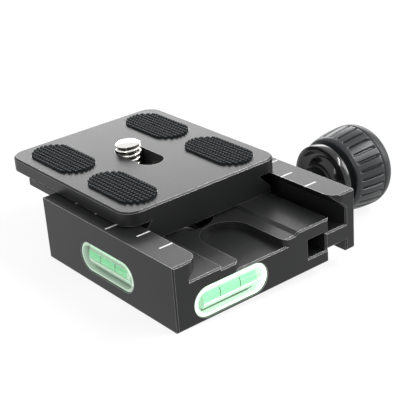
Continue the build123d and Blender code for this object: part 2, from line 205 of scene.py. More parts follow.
def turned_mesh(name, outline, columns):
    """A closed outline of (height, radius) turned about Z, in millimetres."""
    shape = bmesh.new()
    rings = []
    for height, radius in outline:
        ring = []
        for column in range(columns):
            turn = 2 * math.pi * column / columns
            place = Vector((radius * math.cos(turn), radius * math.sin(turn), height)) * MM
            ring.append(shape.verts.new(place))
        rings.append(ring)
    for index, ring in enumerate(rings):
        after = rings[(index + 1) % len(rings)]
        flat = outline[index][1] < 1e-6 and outline[(index + 1) % len(rings)][1] < 1e-6
        if flat:
            continue
        for column in range(columns):
            beside = (column + 1) % columns
            shape.faces.new((ring[column], ring[beside], after[beside], after[column]))
    return finish_mesh(name, shape)


def along_x(mesh, x=0.0):
    """Lays a mesh that was turned about Z on the knob's axis."""
    mesh.transform(Matrix.Translation(Vector((x, 0, AXIS_Z)) * MM) @ Matrix.Rotation(math.pi / 2, 4, "Y"))
    return mesh


def stadium(length, width, steps=20):
    """A round-ended outline, its length along V."""
    radius = width / 2
    straight = length / 2 - radius
    outline = []
    for end, first in ((1, 0.0), (-1, math.pi)):
        for step in range(steps + 1):
            turn = first + math.pi * step / steps
            outline.append((radius * math.cos(turn), end * straight + radius * math.sin(turn)))
    return outline


def prism(name, layers):
    """A closed body through stacked outlines of equal count; each layer is (height, outline)."""
    shape = bmesh.new()
    rings = []
    for height, outline in layers:
        rings.append([shape.verts.new(Vector((u, v, height)) * MM) for u, v in outline])
    for low, high in zip(rings, rings[1:]):
        for index, vertex in enumerate(low):
            after = (index + 1) % len(low)
            shape.faces.new((vertex, low[after], high[after], high[index]))
    shape.faces.new(list(reversed(rings[0])))
    shape.faces.new(rings[-1])
    return finish_mesh(name, shape)


def joined(name, meshes):
    """Several closed meshes of one body as one mesh, without materials."""
    shape = bmesh.new()
    for mesh in meshes:
        shape.from_mesh(mesh)
    whole = bpy.data.meshes.new(name)
    shape.to_mesh(whole)
    shape.free()
    return whole


def cut_away(mesh, cutter, operation="DIFFERENCE"):
    """The mesh with the cutter's room taken out of it, or with INTERSECT only what is inside it."""
    body = new_piece("cut_body", mesh)
    tool = new_piece("cut_tool", cutter)
    change = body.modifiers.new("cut", "BOOLEAN")
    change.operation = operation
    change.object = tool
    change.solver = "EXACT"
    depsgraph = bpy.context.evaluated_depsgraph_get()
    result = bpy.data.meshes.new_from_object(body.evaluated_get(depsgraph), depsgraph=depsgraph)
    bpy.data.objects.remove(body)
    bpy.data.objects.remove(tool)
    return result


def box_mesh(name, low, high):
    shape = bmesh.new()
    bmesh.ops.create_cube(shape, size=1.0)
    size = Vector(high) - Vector(low)
    middle = (Vector(high) + Vector(low)) / 2
    for vertex in shape.verts:
        vertex.co = Vector([vertex.co[i] * size[i] + middle[i] for i in range(3)]) * MM
    return finish_mesh(name, shape)


# Node helpers

def put(tree, socket, value):
    if isinstance(value, bpy.types.NodeSocket):
        tree.links.new(value, socket)
    else:
        socket.default_value = value


def calc(tree, operation, first, second=0.0, clamp=False):
    node = tree.nodes.new("ShaderNodeMath")
    node.operation = operation
    node.use_clamp = clamp
    put(tree, node.inputs[0], first)
    put(tree, node.inputs[1], second)
    return node.outputs[0]


def ramp(tree, value, low, high):
    """0 below low and 1 above high."""
    node = tree.nodes.new("ShaderNodeMapRange")
    node.interpolation_type = "SMOOTHSTEP"
    put(tree, node.inputs["Value"], value)
    put(tree, node.inputs["From Min"], low)
    put(tree, node.inputs["From Max"], high)
    return node.outputs["Result"]


# Geometry makers

def new_maker(name, sizes):
    tree = bpy.data.node_groups.new(name, "GeometryNodeTree")
    tree.interface.new_socket("Geometry", in_out="INPUT", socket_type="NodeSocketGeometry")
    for label, value in sizes.items():
        kind = "NodeSocketInt" if isinstance(value, int) else "NodeSocketFloat"
        item = tree.interface.new_socket(label, in_out="INPUT", socket_type=kind)
        item.default_value = value
    tree.interface.new_socket("Material", in_out="INPUT", socket_type="NodeSocketMaterial")
    tree.interface.new_socket("Geometry", in_out="OUTPUT", socket_type="NodeSocketGeometry")
    return tree, tree.nodes.new("NodeGroupInput").outputs


def end_maker(tree, given, geometry):
    real = tree.nodes.new("GeometryNodeRealizeInstances")
    tree.links.new(geometry, real.inputs["Geometry"])
    paint = tree.nodes.new("GeometryNodeSetMaterial")
    tree.links.new(real.outputs["Geometry"], paint.inputs["Geometry"])
    tree.links.new(given["Material"], paint.inputs["Material"])
    out = tree.nodes.new("NodeGroupOutput")
    tree.links.new(paint.outputs["Geometry"], out.inputs["Geometry"])


def radial_place(tree):
    """X, Y and Z of each vertex, its angle about Z and its distance from Z."""
    position = tree.nodes.new("GeometryNodeInputPosition").outputs[0]
    parts = tree.nodes.new("ShaderNodeSeparateXYZ")
    tree.links.new(position, parts.inputs[0])
    x, y, z = parts.outputs
    turn = calc(tree, "ARCTAN2", y, x)
    squares = calc(tree, "ADD", calc(tree, "MULTIPLY", x, x), calc(tree, "MULTIPLY", y, y))
    distance = calc(tree, "SQRT", squares)
    return x, y, z, turn, distance


def moved_outward(tree, given, x, y, distance, amount):
    """Moves every vertex away from Z by the amount."""
    safe = calc(tree, "MAXIMUM", distance, 1e-6)
    share = calc(tree, "DIVIDE", amount, safe)
    offset = tree.nodes.new("ShaderNodeCombineXYZ")
    tree.links.new(calc(tree, "MULTIPLY", x, share), offset.inputs[0])
    tree.links.new(calc(tree, "MULTIPLY", y, share), offset.inputs[1])
    move = tree.nodes.new("GeometryNodeSetPosition")
    tree.links.new(given["Geometry"], move.inputs["Geometry"])
    tree.links.new(offset.outputs[0], move.inputs["Offset"])
    return move.outputs["Geometry"]


def thread_maker():
    """Cuts a thread with sloping flanks into the wall at Radius; a negative depth cuts inward."""
    tree, given = new_maker("thread_turns", {
        "Radius": 0.003, "Pitch": 0.001, "Depth": 0.0005, "Low": 0.0, "High": 0.01, "Run Out": 0.001,
    })
    x, y, z, turn, distance = radial_place(tree)
    rise = calc(tree, "DIVIDE", z, given["Pitch"])
    phase = calc(tree, "FRACT", calc(tree, "SUBTRACT", rise, calc(tree, "DIVIDE", turn, 2 * math.pi)))
    from_crest = calc(tree, "ABSOLUTE", calc(tree, "SUBTRACT", calc(tree, "MULTIPLY", phase, 2.0), 1.0))
    valley = calc(tree, "SUBTRACT", 1.0, from_crest)
    shaped = calc(tree, "SUBTRACT", calc(tree, "MULTIPLY", valley, 1.4), 0.2, clamp=True)
    off_wall = calc(tree, "ABSOLUTE", calc(tree, "SUBTRACT", distance, given["Radius"]))
    on_wall = calc(tree, "LESS_THAN", off_wall, THREAD_BAND * MM)
    above = ramp(tree, z, given["Low"], calc(tree, "ADD", given["Low"], given["Run Out"]))
    below = calc(tree, "LESS_THAN", z, given["High"])
    where = calc(tree, "MULTIPLY", calc(tree, "MULTIPLY", above, below), on_wall)
    amount = calc(tree, "MULTIPLY", calc(tree, "MULTIPLY", shaped, given["Depth"]), where)
    end_maker(tree, given, moved_outward(tree, given, x, y, distance, amount))
    return tree


def groove_maker():
    """Cuts flat-bottomed grooves with sloping sides along a turned ring; each runs out before its ends."""
    tree, given = new_maker("grip_grooves", {
        "Count": GRIP_RIBS, "Depth": 0.0005, "Width Share": 0.3, "Low": 0.0, "High": 0.01,
        "Run Out": 0.001, "Inner Radius": 0.009,
    })
    x, y, z, turn, distance = radial_place(tree)
    around = calc(tree, "MULTIPLY", calc(tree, "DIVIDE", turn, 2 * math.pi), given["Count"])
    phase = calc(tree, "FRACT", around)
    from_middle = calc(tree, "ABSOLUTE", calc(tree, "SUBTRACT", phase, 0.5))
    start = ramp(tree, z, given["Low"], calc(tree, "ADD", given["Low"], given["Run Out"]))
    run_out_from = calc(tree, "SUBTRACT", given["High"], given["Run Out"])
    stop = calc(tree, "SUBTRACT", 1.0, ramp(tree, z, run_out_from, given["High"]))
    along = calc(tree, "MULTIPLY", start, stop)
    half_width = calc(tree, "MULTIPLY", given["Width Share"], 0.5)
    inside = calc(tree, "SUBTRACT", 1.0, calc(tree, "DIVIDE", from_middle, half_width))
    reach = calc(tree, "MULTIPLY", inside, 1.7, clamp=True)
    outside = calc(tree, "GREATER_THAN", distance, given["Inner Radius"])
    inward = calc(tree, "MULTIPLY", given["Depth"], -1.0)
    amount = calc(tree, "MULTIPLY", calc(tree, "MULTIPLY", reach, along), inward)
    amount = calc(tree, "MULTIPLY", amount, outside)
    end_maker(tree, given, moved_outward(tree, given, x, y, distance, amount))
    return tree


def nub_maker():
    """Rows of small blocks inside a round-ended outline."""
    tree, given = new_maker("pad_ribs", {
        "Width": 0.009, "Length": 0.019, "Rib Pitch": 0.001, "Nub Pitch": 0.001,
        "Rib Rows": 9, "Nub Rows": 19, "Nub Width": 0.0008, "Nub Length": 0.0007, "Height": 0.0003,
        "Floor": 0.0, "Margin": 0.0004,
    })
    grid = tree.nodes.new("GeometryNodeMeshGrid")
    rib_span = calc(tree, "MULTIPLY", given["Rib Pitch"], calc(tree, "SUBTRACT", given["Rib Rows"], 1.0))
    nub_span = calc(tree, "MULTIPLY", given["Nub Pitch"], calc(tree, "SUBTRACT", given["Nub Rows"], 1.0))
    tree.links.new(rib_span, grid.inputs["Size X"])
    tree.links.new(nub_span, grid.inputs["Size Y"])
    tree.links.new(given["Rib Rows"], grid.inputs["Vertices X"])
    tree.links.new(given["Nub Rows"], grid.inputs["Vertices Y"])
    position = tree.nodes.new("GeometryNodeInputPosition").outputs[0]
    parts = tree.nodes.new("ShaderNodeSeparateXYZ")
    tree.links.new(position, parts.inputs[0])
    radius = calc(tree, "MULTIPLY", given["Width"], 0.5)
    straight = calc(tree, "SUBTRACT", calc(tree, "MULTIPLY", given["Length"], 0.5), radius)
    along = calc(tree, "ABSOLUTE", parts.outputs[1])
    past = calc(tree, "MAXIMUM", calc(tree, "SUBTRACT", along, straight), 0.0)
    across = calc(tree, "MULTIPLY", parts.outputs[0], parts.outputs[0])
    off = calc(tree, "SQRT", calc(tree, "ADD", across, calc(tree, "MULTIPLY", past, past)))
    keep = calc(tree, "LESS_THAN", off, calc(tree, "SUBTRACT", radius, given["Margin"]))
    drop = tree.nodes.new("GeometryNodeDeleteGeometry")
    drop.domain = "POINT"
    tree.links.new(grid.outputs["Mesh"], drop.inputs["Geometry"])
    tree.links.new(calc(tree, "LESS_THAN", keep, 0.5), drop.inputs["Selection"])
    nub = tree.nodes.new("GeometryNodeMeshCone")
    nub.inputs["Vertices"].default_value = 4
    nub.inputs["Radius Top"].default_value = 0.5
    nub.inputs["Radius Bottom"].default_value = math.sqrt(0.5)
    nub.inputs["Depth"].default_value = 1.0
    square = tree.nodes.new("GeometryNodeTransform")
    tree.links.new(nub.outputs["Mesh"], square.inputs["Geometry"])
    square.inputs["Rotation"].default_value = (0, 0, math.pi / 4)
    size = tree.nodes.new("ShaderNodeCombineXYZ")
    tree.links.new(given["Nub Width"], size.inputs[0])
    tree.links.new(given["Nub Length"], size.inputs[1])
    tree.links.new(given["Height"], size.inputs[2])
    sized = tree.nodes.new("GeometryNodeTransform")
    tree.links.new(square.outputs["Geometry"], sized.inputs["Geometry"])
    tree.links.new(size.outputs[0], sized.inputs["Scale"])
    place = tree.nodes.new("GeometryNodeInstanceOnPoints")
    tree.links.new(drop.outputs["Geometry"], place.inputs["Points"])
    tree.links.new(sized.outputs["Geometry"], place.inputs["Instance"])
    lift = tree.nodes.new("ShaderNodeCombineXYZ")
    tree.links.new(given["Floor"], lift.inputs[2])
    raised = tree.nodes.new("GeometryNodeTransform")
    tree.links.new(place.outputs["Instances"], raised.inputs["Geometry"])
    tree.links.new(lift.outputs[0], raised.inputs["Translation"])
    end_maker(tree, given, raised.outputs["Geometry"])
    return tree


def coil_maker():
    """A round wire wound about Z, rising from its start."""
    tree, given = new_maker("coil_turns", {
        "Turns": 9.0, "Coil Radius": 0.0017, "Wire Radius": 0.0002, "Length": 0.01,
    })
    spiral = tree.nodes.new("GeometryNodeCurveSpiral")
    spiral.inputs["Resolution"].default_value = 28
    tree.links.new(given["Turns"], spiral.inputs["Rotations"])
    tree.links.new(given["Coil Radius"], spiral.inputs["Start Radius"])
    tree.links.new(given["Coil Radius"], spiral.inputs["End Radius"])
    tree.links.new(given["Length"], spiral.inputs["Height"])
    wire = tree.nodes.new("GeometryNodeCurvePrimitiveCircle")
    wire.inputs["Resolution"].default_value = 10
    tree.links.new(given["Wire Radius"], wire.inputs["Radius"])
    sweep = tree.nodes.new("GeometryNodeCurveToMesh")
    tree.links.new(spiral.outputs["Curve"], sweep.inputs["Curve"])
    tree.links.new(wire.outputs["Curve"], sweep.inputs["Profile Curve"])
    sweep.inputs["Fill Caps"].default_value = True
    end_maker(tree, given, sweep.outputs["Mesh"])
    return tree


def made_by(tree, name, mesh, values, material):
    """Runs a maker once on a mesh and returns the plain mesh it gives."""
    start = new_piece(name + "_start", mesh)
    run = start.modifiers.new("maker", "NODES")
    run.node_group = tree
    for item in tree.interface.items_tree:
        if item.in_out == "INPUT" and item.name in values:
            run[item.identifier] = values[item.name]
        if item.in_out == "INPUT" and item.name == "Material":
            run[item.identifier] = material
    depsgraph = bpy.context.evaluated_depsgraph_get()
    result = bpy.data.meshes.new_from_object(start.evaluated_get(depsgraph), depsgraph=depsgraph)
    start.modifiers.remove(run)
    bpy.data.objects.remove(start)
    result.name = name
    return result


# Shared surface effects

def new_effect(name, inputs, outputs):
    tree = bpy.data.node_groups.new(name, "ShaderNodeTree")
    for label, kind, value in inputs:
        item = tree.interface.new_socket(label, in_out="INPUT", socket_type=kind)
        item.default_value = value
    for label, kind in outputs:
        tree.interface.new_socket(label, in_out="OUTPUT", socket_type=kind)
    return tree, tree.nodes.new("NodeGroupInput").outputs, tree.nodes.new("NodeGroupOutput").inputs


def noise(tree, scale, detail=2.0):
    place = tree.nodes.new("ShaderNodeTexCoord").outputs["Object"]
    node = tree.nodes.new("ShaderNodeTexNoise")
    tree.links.new(place, node.inputs["Vector"])
    put(tree, node.inputs["Scale"], scale)
    node.inputs["Detail"].default_value = detail
    node.inputs["Roughness"].default_value = 0.5
    return node.outputs["Fac"]


def grain_effect():
    """Fine blasted grain: a height, and a roughness that wanders a little."""
    tree, given, out = new_effect(
        "blasted_grain",
        [
            ("Grain Scale", "NodeSocketFloat", 9000.0),
            ("Roughness", "NodeSocketFloat", 0.4),
            ("Roughness Spread", "NodeSocketFloat", 0.06),
            ("Patch Scale", "NodeSocketFloat", 120.0),
        ],
        [("Roughness", "NodeSocketFloat"), ("Height", "NodeSocketFloat")],
    )
    grain = noise(tree, given["Grain Scale"], 2.0)
    patch = noise(tree, given["Patch Scale"], 3.0)
    mixed = calc(tree, "ADD", calc(tree, "MULTIPLY", grain, 0.4), calc(tree, "MULTIPLY", patch, 0.6))
    swing = calc(tree, "MULTIPLY", calc(tree, "SUBTRACT", mixed, 0.5), given["Roughness Spread"])
    tree.links.new(calc(tree, "ADD", given["Roughness"], swing, clamp=True), out["Roughness"])
    tree.links.new(grain, out["Height"])
    return tree


def tone_effect():
    """A colour that drifts a little over the surface, with sparse pale dust."""
    tree, given, out = new_effect(
        "drifting_tone",
        [
            ("Color", "NodeSocketColor", (0.5, 0.5, 0.5, 1)),
            ("Drift", "NodeSocketFloat", 0.1),
            ("Drift Scale", "NodeSocketFloat", 90.0),
            ("Dust", "NodeSocketFloat", 0.02),
            ("Dust Color", "NodeSocketColor", (0.4, 0.4, 0.38, 1)),
        ],
        [("Color", "NodeSocketColor")],
    )
    drift = noise(tree, given["Drift Scale"], 4.0)
    level = calc(tree, "ADD", 1.0, calc(tree, "MULTIPLY", calc(tree, "SUBTRACT", drift, 0.5), given["Drift"]))
    scaled = tree.nodes.new("ShaderNodeVectorMath")
    scaled.operation = "SCALE"
    tree.links.new(given["Color"], scaled.inputs[0])
    tree.links.new(level, scaled.inputs["Scale"])
    specks = ramp(tree, noise(tree, 2600.0, 1.0), 0.62, 0.74)
    mix = tree.nodes.new("ShaderNodeMix")
    mix.data_type = "RGBA"
    tree.links.new(calc(tree, "MULTIPLY", specks, given["Dust"]), mix.inputs["Factor"])
    tree.links.new(scaled.outputs[0], mix.inputs[6])
    tree.links.new(given["Dust Color"], mix.inputs[7])
    tree.links.new(mix.outputs[2], out["Color"])
    return tree


def edge_effect():
    """A mask: 1 along the outer edges of a piece, 0 on its flats and in its inner corners."""
    tree, given, out = new_effect(
        "outer_edge",
        [("Width", "NodeSocketFloat", 0.0002), ("Corner Reach", "NodeSocketFloat", 0.0012)],
        [("Mask", "NodeSocketFloat")],
    )
    softened = tree.nodes.new("ShaderNodeBevel")
    softened.samples = 6
    tree.links.new(given["Width"], softened.inputs["Radius"])
    flat = tree.nodes.new("ShaderNodeNewGeometry")
    facing = tree.nodes.new("ShaderNodeVectorMath")
    facing.operation = "DOT_PRODUCT"
    tree.links.new(softened.outputs["Normal"], facing.inputs[0])
    tree.links.new(flat.outputs["Normal"], facing.inputs[1])
    bend = ramp(tree, facing.outputs["Value"], 0.995, 0.9)
    around = tree.nodes.new("ShaderNodeAmbientOcclusion")
    around.samples = 6
    around.only_local = True
    tree.links.new(given["Corner Reach"], around.inputs["Distance"])
    open_air = ramp(tree, around.outputs["AO"], 0.72, 0.92)
    tree.links.new(calc(tree, "MULTIPLY", bend, open_air), out["Mask"])
    return tree


GRAIN = grain_effect()
TONE = tone_effect()
EDGE = edge_effect()


# Finishes

def surface(name, color, roughness, metallic=0.0, grain_scale=9000.0, grain_height=0.002, spread=0.06,
            drift=0.1, dust=0.01, specular=0.5, transmission=0.0, ior=1.5):
    """A painted, metal, rubber or clear surface; grain_height is in millimetres."""
    material = bpy.data.materials.new(name)
    material.use_nodes = True
    tree = material.node_tree
    shader = tree.nodes["Principled BSDF"]
    shader.inputs["Metallic"].default_value = metallic
    shader.inputs["IOR"].default_value = ior
    shader.inputs["Specular IOR Level"].default_value = specular
    shader.inputs["Transmission Weight"].default_value = transmission
    tone = tree.nodes.new("ShaderNodeGroup")
    tone.node_tree = TONE
    tone.inputs["Color"].default_value = (*color, 1)
    tone.inputs["Drift"].default_value = drift
    tone.inputs["Dust"].default_value = dust
    tree.links.new(tone.outputs["Color"], shader.inputs["Base Color"])
    grain = tree.nodes.new("ShaderNodeGroup")
    grain.node_tree = GRAIN
    grain.inputs["Grain Scale"].default_value = grain_scale
    grain.inputs["Roughness"].default_value = roughness
    grain.inputs["Roughness Spread"].default_value = spread
    tree.links.new(grain.outputs["Roughness"], shader.inputs["Roughness"])
    if grain_height > 0:
        bump = tree.nodes.new("ShaderNodeBump")
        bump.inputs["Distance"].default_value = grain_height * MM
        bump.inputs["Strength"].default_value = 1.0
        tree.links.new(grain.outputs["Height"], bump.inputs["Height"])
        tree.links.new(bump.outputs["Normal"], shader.inputs["Normal"])
    return material


def painted_edge_highlight(material, width, level):
    """Painted highlight along the outer edges: lighter towards level and metallic there; width is in
    millimetres.
    """
    tree = material.node_tree
    shader = tree.nodes["Principled BSDF"]
    edge = tree.nodes.new("ShaderNodeGroup")
    edge.node_tree = EDGE
    edge.inputs["Width"].default_value = width * MM
    highlight_mix = tree.nodes.new("ShaderNodeMix")
    highlight_mix.data_type = "RGBA"
    highlight_mix.inputs[7].default_value = (level, level, level, 1)
    tree.links.new(edge.outputs["Mask"], highlight_mix.inputs["Factor"])
    tree.links.new(edge.outputs["Mask"], shader.inputs["Metallic"])
    tree.links.new(shader.inputs["Base Color"].links[0].from_socket, highlight_mix.inputs[6])
    tree.links.new(highlight_mix.outputs[2], shader.inputs["Base Color"])


def dark_valleys(material):
    """Shade between the turns of a thread, by the mesh's own crest values."""
    tree = material.node_tree
    shader = tree.nodes["Principled BSDF"]
    crest = tree.nodes.new("ShaderNodeAttribute")
    crest.attribute_name = "crest"
    shade = tree.nodes.new("ShaderNodeMix")
    shade.data_type = "RGBA"
    shade.inputs[6].default_value = (0.05, 0.045, 0.04, 1)
    tree.links.new(ramp(tree, crest.outputs["Fac"], 0.25, 0.85), shade.inputs["Factor"])
    tree.links.new(shader.inputs["Base Color"].links[0].from_socket, shade.inputs[7])
    tree.links.new(shade.outputs[2], shader.inputs["Base Color"])


black_anodised = surface("black_anodised", (0.0115, 0.012, 0.012), 0.36, grain_height=0.004, drift=0.18,
                         specular=0.3)
# Painted highlight: thin light metallic lines along the outer edges of the anodised parts.
painted_edge_highlight(black_anodised, 0.17, 0.42)
white_paint = surface("white_paint", (0.85, 0.85, 0.83), 0.55, drift=0.08)
steel = surface("steel", (0.5, 0.5, 0.51), 0.3, metallic=1.0, grain_height=0.002, drift=0.12)
chrome = surface("chrome", (0.86, 0.85, 0.82), 0.1, metallic=1.0, grain_height=0.0008, spread=0.05,
                 drift=0.06, dust=0.0)
dark_valleys(chrome)
gloss_black = surface("gloss_black", (0.012, 0.0125, 0.013), 0.17, grain_height=0.0008, spread=0.05,
                      drift=0.12)
cap_black = surface("cap_black", (0.022, 0.0235, 0.025), 0.42, grain_scale=7000.0, grain_height=0.003,
                    drift=0.16, specular=0.3)
grip_rubber = surface("grip_rubber", (0.014, 0.018, 0.02), 0.36, grain_scale=7000.0, grain_height=0.004,
                      drift=0.2)
pad_rubber = surface("pad_rubber", (0.008, 0.011, 0.0125), 0.62, grain_scale=6000.0, grain_height=0.006,
                     drift=0.25, specular=0.16)
ring_ink = surface("ring_ink", (0.004, 0.008, 0.006), 0.5, drift=0.2, specular=0.2)
white_plastic = surface("white_plastic", (0.8, 0.86, 0.8), 0.35, drift=0.08)


def fluid_material(name, strength):
    """Green fluid with a painted glow, standing in for the light that reaches it through the clear block."""
    material = surface(name, (0.10, 0.62, 0.26), 0.12, grain_height=0.0, drift=0.25, dust=0.0)
    shader = material.node_tree.nodes["Principled BSDF"]
    shader.inputs["Emission Color"].default_value = (0.42, 1.0, 0.54, 1)
    shader.inputs["Emission Strength"].default_value = strength
    return material


def acrylic_material(name, strength, inner):
    """Clear block with a painted glow by the mesh's own rim values: dim at the hollow, the inner colour
    inside, pale along its rim.
    """
    material = surface(name, (0.93, 1.0, 0.95), 0.04, grain_height=0.0, spread=0.03, drift=0.04, dust=0.0,
                       transmission=0.95, ior=1.49)
    tree = material.node_tree
    shader = tree.nodes["Principled BSDF"]
    rim = tree.nodes.new("ShaderNodeAttribute")
    rim.attribute_name = "rim"
    glow_ramp = tree.nodes.new("ShaderNodeValToRGB")
    stops = glow_ramp.color_ramp.elements
    stops[0].position, stops[0].color = 0.0, (0.02, 0.08, 0.03, 1)
    stops[1].position, stops[1].color = 1.0, (0.85, 1.0, 0.86, 1)
    stops.new(0.5).color = (*inner, 1)
    tree.links.new(rim.outputs["Fac"], glow_ramp.inputs["Fac"])
    tree.links.new(glow_ramp.outputs["Color"], shader.inputs["Emission Color"])
    shader.inputs["Emission Strength"].default_value = strength
    return material


# Painted glow in the fluids: the front one brighter and the side one dimmer, as lit and shaded copies.
front_fluid_lit_glow = fluid_material("front_green_fluid_lit_glow", 0.5)
side_fluid_shaded_glow = fluid_material("side_green_fluid_shaded_glow", 0.1)
# Painted glow in the clear blocks: the front one brighter and the side one dimmer, as lit and shaded copies.
front_acrylic_lit_glow = acrylic_material("front_clear_acrylic_lit_glow", 0.85, (0.56, 0.94, 0.63))
side_acrylic_shaded_glow = acrylic_material("side_clear_acrylic_shaded_glow", 0.42, (0.13, 0.27, 0.15))
NODE_MATERIALS = {
    "black_anodised": black_anodised, "white_paint": white_paint, "steel": steel, "chrome": chrome,
    "gloss_black": gloss_black, "grip_rubber": grip_rubber, "pad_rubber": pad_rubber,
    "clear_acrylic": front_acrylic_lit_glow, "green_fluid": front_fluid_lit_glow, "ring_ink": ring_ink,
    "white_plastic": white_plastic,
}
for part in frame["record"]["subparts"]:
    mesh = frame["nodes"][part["node"]].data
    mesh.materials.clear()
    mesh.materials.append(NODE_MATERIALS[part["material_slot"]])
# The side vial takes the shaded copies of the painted glow, for its fluid and its block.
frame["nodes"]["side_vial_fluid"].data.materials[0] = side_fluid_shaded_glow
frame["nodes"]["side_vial_block"].data.materials[0] = side_acrylic_shaded_glow


def settle(piece, body, slot_name, *nodes):
    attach(piece, body)
    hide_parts(*nodes)


def span(node, axis):
    """The reach of a CAD node along one axis, in millimetres."""
    low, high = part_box(node)
    return low[axis] / MM, high[axis] / MM


# Knob

def build_hub():
    """The knob's metal core: a short neck, a smooth dish, the rim, and the drum that carries the grip."""
    core_x, core_end_x = span("knob_core", 0)
    drum_x = core_end_x - core_x
    hub = [(0.0, CORE_BORE_R), (0.0, 4.0), (0.1, 4.2), (0.3, 4.3)]
    for step in range(DISH_STEPS + 1):
        share = step / DISH_STEPS
        hub.append((DISH_EDGE + DISH_DEPTH * math.sin(share * math.pi), DISH_IN_R + DISH_W * share))
    hub += [(1.0, 7.95), (0.98, 8.05), (1.02, 8.2)]
    hub += [(1.1, RIM_R - 0.5), (1.14, RIM_R - 0.2), (1.24, RIM_R - 0.06), (1.4, RIM_R)]
    hub += [(3.0, RIM_R), (3.2, RIM_R - 0.06), (3.3, RIM_R - 0.2), (3.35, DRUM_R)]
    hub += [(drum_x, DRUM_R), (drum_x, 0.0), (CORE_BORE_L, 0.0), (CORE_BORE_L, CORE_BORE_R)]
    core = along_x(turned_mesh("knob_hub", hub, TURN_STEPS), core_x)
    settle(new_piece("knob_hub", smooth(core), gloss_black), "clamp_knob", "gloss_black", "knob_core")


def grip_radius():
    low, high = span("knob_grip", 1)
    return (high - low) / 2


def build_grip():
    """The swelling rubber ring with its moulded grooves."""
    grip_x = span("knob_grip", 0)[0]
    length = span("knob_end_cap", 0)[0] - grip_x
    rear_r = grip_radius()
    outline = [(0.0, DRUM_R), (0.0, 9.1), (0.1, 9.45), (0.3, 9.7), (0.6, 9.87), (GRIP_NOSE, GRIP_FRONT_R)]
    for step in range(1, GRIP_STEPS):
        share = step / GRIP_STEPS
        swell = math.sin(share * math.pi / 2)
        along = GRIP_NOSE + (length - GRIP_NOSE - GRIP_TAIL) * share
        outline.append((along, GRIP_FRONT_R + (rear_r - GRIP_FRONT_R) * swell))
    outline += [(length - 0.3, rear_r), (length - 0.1, rear_r - 0.05), (length, rear_r - 0.2)]
    outline.append((length, DRUM_R))
    ring = turned_mesh("grip_ring", outline, GRIP_RIBS * GRIP_COLUMNS_PER_RIB)
    ring = made_by(groove_maker(), "grip_ring", ring, {
        "Count": GRIP_RIBS, "Depth": GROOVE_DEPTH * MM, "Width Share": GROOVE_WIDTH_SHARE,
        "Low": GROOVE_FROM_FRONT * MM, "High": (length - GROOVE_FROM_REAR) * MM,
        "Run Out": GROOVE_RUN_OUT * MM, "Inner Radius": GROOVE_LEAST_R * MM,
    }, grip_rubber)
    ring = along_x(ring, grip_x)
    settle(new_piece("grip_ring", smooth(ring, 40)), "clamp_knob", "grip_rubber", "knob_grip")


def build_cap():
    """The knob's end cap, with a wide rounded shoulder."""
    cap_x, cap_end_x = span("knob_end_cap", 0)
    depth = cap_end_x - cap_x
    rear_r = grip_radius()
    end = [(0.0, 0.0), (0.0, rear_r - 0.2), (0.12, rear_r - 0.06), (CAP_EDGE, rear_r)]
    for step in range(1, CAP_STEPS + 1):
        turn = math.pi / 2 * step / CAP_STEPS
        along = CAP_EDGE + (depth - CAP_EDGE) * math.sin(turn) * CAP_SWELL
        end.append((along, rear_r - (rear_r - CAP_SHOULDER_R) * (1 - math.cos(turn))))
    end += [(depth, CAP_FACE_R), (depth, 0.0)]
    cap = along_x(turned_mesh("knob_cap", end, TURN_STEPS), cap_x)
    settle(new_piece("knob_cap", smooth(cap), cap_black), "clamp_knob", "gloss_black", "knob_end_cap")


# Screws

def thread_rows(low, high, pitch):
    count = int((high - low) / pitch * ROWS_PER_PITCH)
    return [low + (high - low) * step / count for step in range(count + 1)]


def build_camera_screw():
    """The head with its coin slot, a neck through the plate, and the thread down to the clip."""
    low_corner, high_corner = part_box("camera_screw")
    middle = (low_corner + high_corner) / 2
    low, high = low_corner.z / MM, high_corner.z / MM
    head_top = low + HEAD_H
    head = rounded([(low, 0.0, 0), (low, HEAD_R, 0.3), (head_top, HEAD_R, 0.15), (head_top, 0.0, 0)])
    head = turned_mesh("screw_head", head, TURN_STEPS)
    half, past = COIN_SLOT_W / 2, HEAD_R + 1
    coin = box_mesh("coin_slot", (-past, -half, low - 1), (past, half, low + COIN_SLOT_DEPTH))
    head = cut_away(head, coin)
    thread_low = span("retaining_clip", 2)[1] + THREAD_OVER_CLIP
    start, top = head_top - 0.2, high - THREAD_UNDER_TOP
    outline = [(start, 0.0), (start, NECK_R), (thread_low, NECK_R)]
    outline += [(row, THREAD_R) for row in thread_rows(thread_low, top, INCH_PITCH)]
    outline += [(top + 0.12, THREAD_R - 0.16), (high - 0.12, THREAD_R - 0.62), (high, THREAD_R - 0.95)]
    outline.append((high, 0.0))
    shank = turned_mesh("screw_shank", outline, THREAD_COLUMNS)
    shank = made_by(thread_maker(), "screw_shank", shank, {
        "Radius": THREAD_R * MM, "Pitch": INCH_PITCH * MM, "Depth": -INCH_DEPTH * MM,
        "Low": (thread_low - 0.1) * MM, "High": (top + 0.01) * MM, "Run Out": 0.05 * MM,
    }, chrome)
    whole = joined("threaded_camera_screw", [head, shank])
    crest = whole.attributes.new("crest", "FLOAT", "POINT")
    for index, vertex in enumerate(whole.vertices):
        off = math.hypot(vertex.co.x, vertex.co.y) / MM
        on_thread = thread_low < vertex.co.z / MM < top
        crest.data[index].value = (off - THREAD_R + INCH_DEPTH) / INCH_DEPTH if on_thread else 1.0
    whole.transform(Matrix.Translation((middle.x, middle.y, 0)))
    piece = new_piece("threaded_camera_screw", smooth(whole, 50), chrome)
    settle(piece, "camera_screw", "chrome", "camera_screw")


